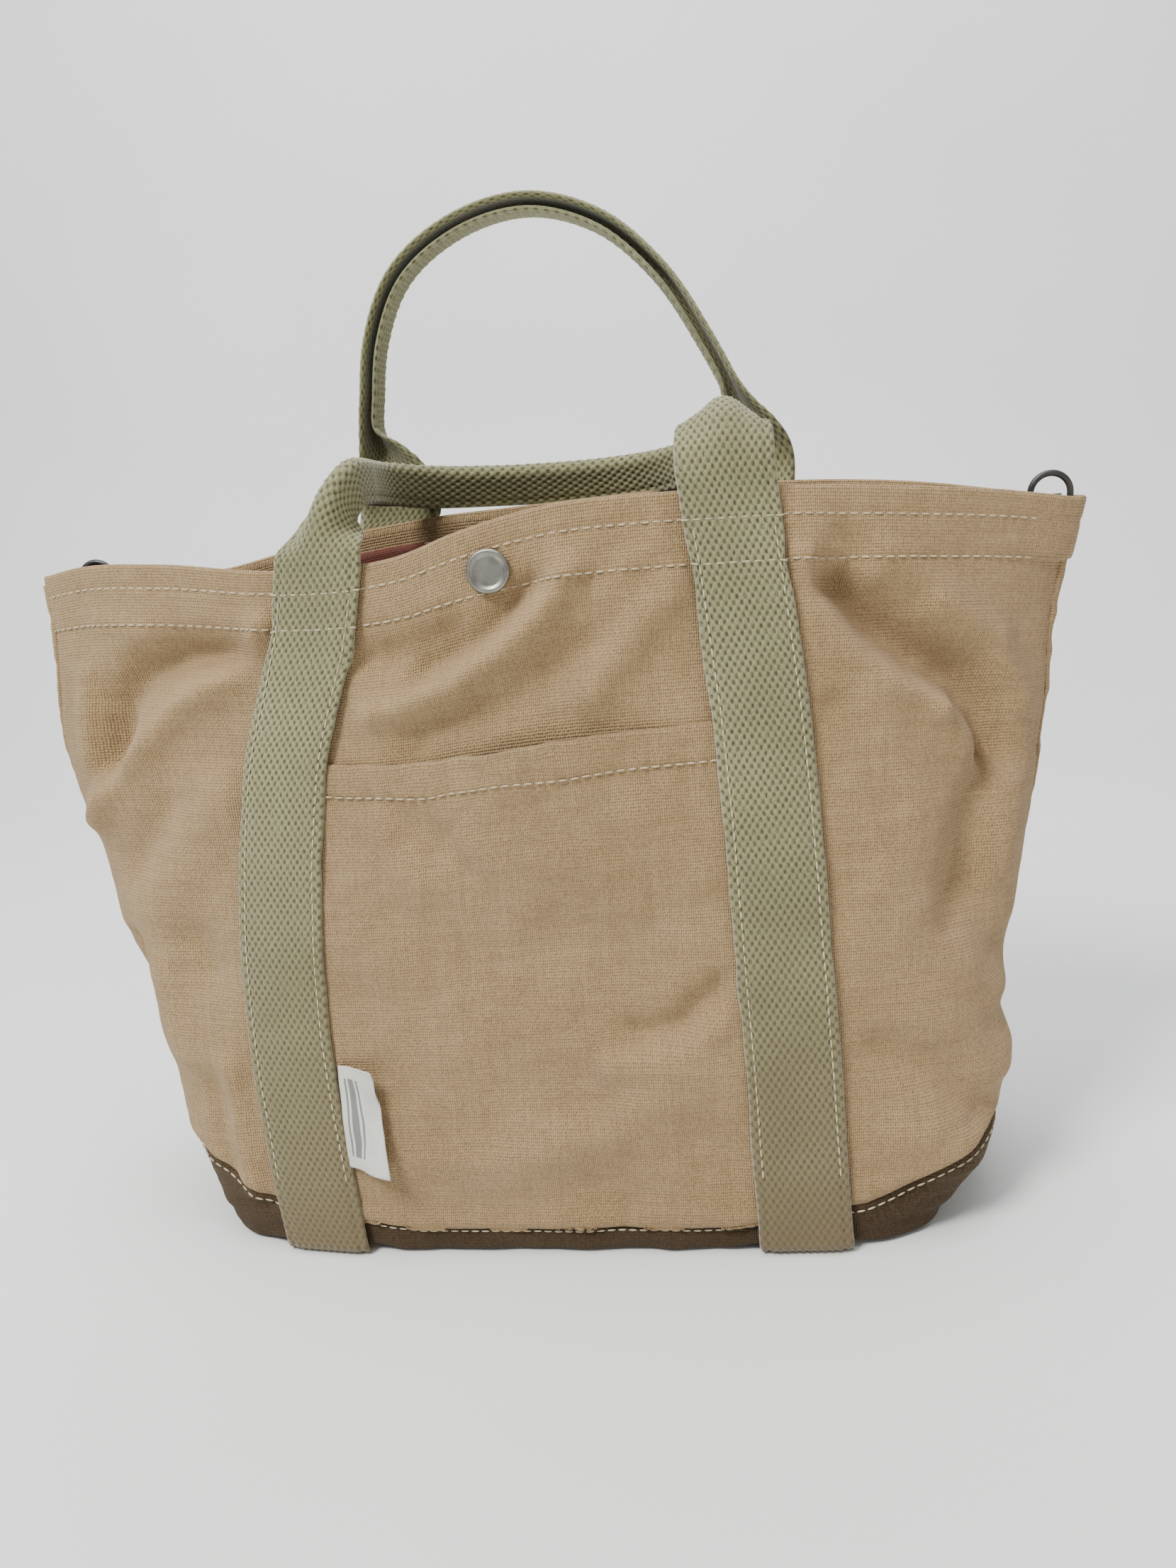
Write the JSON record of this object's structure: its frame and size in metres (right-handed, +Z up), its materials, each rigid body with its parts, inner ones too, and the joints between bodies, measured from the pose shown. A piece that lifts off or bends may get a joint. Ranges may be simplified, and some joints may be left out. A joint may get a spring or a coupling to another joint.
{
  "type": "canvas tote bag",
  "caption": "Boxed canvas tote bag with webbing straps that loop into two folded grips, patch pocket, snap and D-rings.",
  "frame": {"origin": "middle of the standing face, under the base", "axes": "+X to the bag's right as seen from the front, -Y out of the front, +Z up to the grips"},
  "size_m": [0.4498, 0.1592, 0.4415],
  "materials": {
    "canvas_tan": "plain-weave cotton duck, matt",
    "canvas_olive": "plain-weave cotton duck, matt, darker base cloth",
    "webbing_sage": "heavy cotton webbing, coarse weave, matt",
    "lining_brick": "fine cotton lining, matt",
    "label_white": "woven satin label",
    "tape_black": "black woven tape",
    "snap_steel": "brushed, satin",
    "ring_black": "black satin enamel"
  },
  "bodies": {
    "bag": {"back_hem": "canvas_tan", "back_lining": "lining_brick", "back_panel": "canvas_tan", "base_lining": "lining_brick", "base_panel": "canvas_olive", "front_hem": "canvas_tan", "front_lining": "lining_brick", "front_panel": "canvas_tan", "front_pocket": "canvas_tan", "label": "label_white", "left_ring_tab": "tape_black", "left_side_seam": "canvas_tan", "right_ring_tab": "tape_black", "right_side_seam": "canvas_tan", "snap_back_cap": "snap_steel", "snap_cap": "snap_steel", "snap_socket": "snap_steel", "snap_stud": "snap_steel", "strap_back_left": "webbing_sage", "strap_back_right": "webbing_sage", "strap_front_left": "webbing_sage", "strap_front_right": "webbing_sage", "strap_under_left": "webbing_sage", "strap_under_right": "webbing_sage"},
    "front_grip": {"front_grip": "webbing_sage"},
    "rear_grip": {"rear_grip": "webbing_sage"},
    "left_ring": {"left_d_ring": "ring_black"},
    "right_ring": {"right_d_ring": "ring_black"}
  },
  "joints": [
    {"name": "front_grip_fold", "type": "hinge", "parent": "bag", "child": "front_grip", "pos_m": [0, -0.04, 0.326], "axis": [1, 0, 0], "range_deg": [0, 200]},
    {"name": "rear_grip_fold", "type": "hinge", "parent": "bag", "child": "rear_grip", "pos_m": [0, 0.04, 0.338], "axis": [1, 0, 0], "range_deg": [-120, 40]},
    {"name": "left_ring_swing", "type": "hinge", "parent": "bag", "child": "left_ring", "pos_m": [-0.2, 0, 0.288], "axis": [1, 0, 0], "range_deg": [-40, 40]},
    {"name": "right_ring_swing", "type": "hinge", "parent": "bag", "child": "right_ring", "pos_m": [0.209, 0, 0.292], "axis": [1, 0, 0], "range_deg": [-30, 30]}
  ]
}
